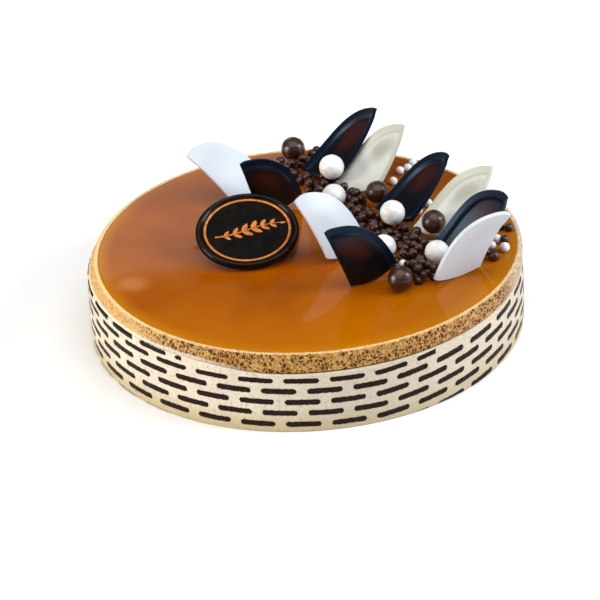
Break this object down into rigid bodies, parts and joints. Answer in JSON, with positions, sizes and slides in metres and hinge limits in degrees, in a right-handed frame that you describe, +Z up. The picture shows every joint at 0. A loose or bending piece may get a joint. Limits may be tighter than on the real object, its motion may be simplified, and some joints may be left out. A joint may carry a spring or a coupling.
{
  "type": "mousse torte",
  "caption": "Round mousse torte with a printed sponge band and a mirror glaze, topped with curved chocolate petals, chocolate balls, small pearls and an oval plaque.",
  "frame": {"origin": "middle of the cake's flat base, on the surface that it stands on", "axes": "+X to the right of the cake's front, +Y to its back, +Z up"},
  "size_m": [0.2217, 0.2203, 0.0829],
  "materials": {
    "mousse": "matt, porous",
    "sponge": "matt, cream with dark brown printed dashes",
    "glaze": "mirror gloss",
    "dark_chocolate": "satin to glossy",
    "white_chocolate": "satin"
  },
  "bodies": {
    "root": {"mousse": "mousse", "sponge_band": "sponge", "glaze": "glaze", "plaque": "dark_chocolate", "petal_01": "white_chocolate", "petal_02": "dark_chocolate", "petal_03": "white_chocolate", "petal_04": "dark_chocolate", "petal_05": "dark_chocolate", "petal_06": "white_chocolate", "petal_07": "dark_chocolate", "petal_08": "white_chocolate", "petal_09": "dark_chocolate", "petal_10": "white_chocolate", "dark_ball_1": "dark_chocolate", "dark_ball_2": "dark_chocolate", "dark_ball_3": "dark_chocolate", "dark_ball_4": "dark_chocolate", "dark_ball_5": "dark_chocolate", "white_ball_1": "white_chocolate", "white_ball_2": "white_chocolate", "white_ball_3": "white_chocolate", "white_ball_4": "white_chocolate", "white_ball_5": "white_chocolate"}
  },
  "joints": []
}
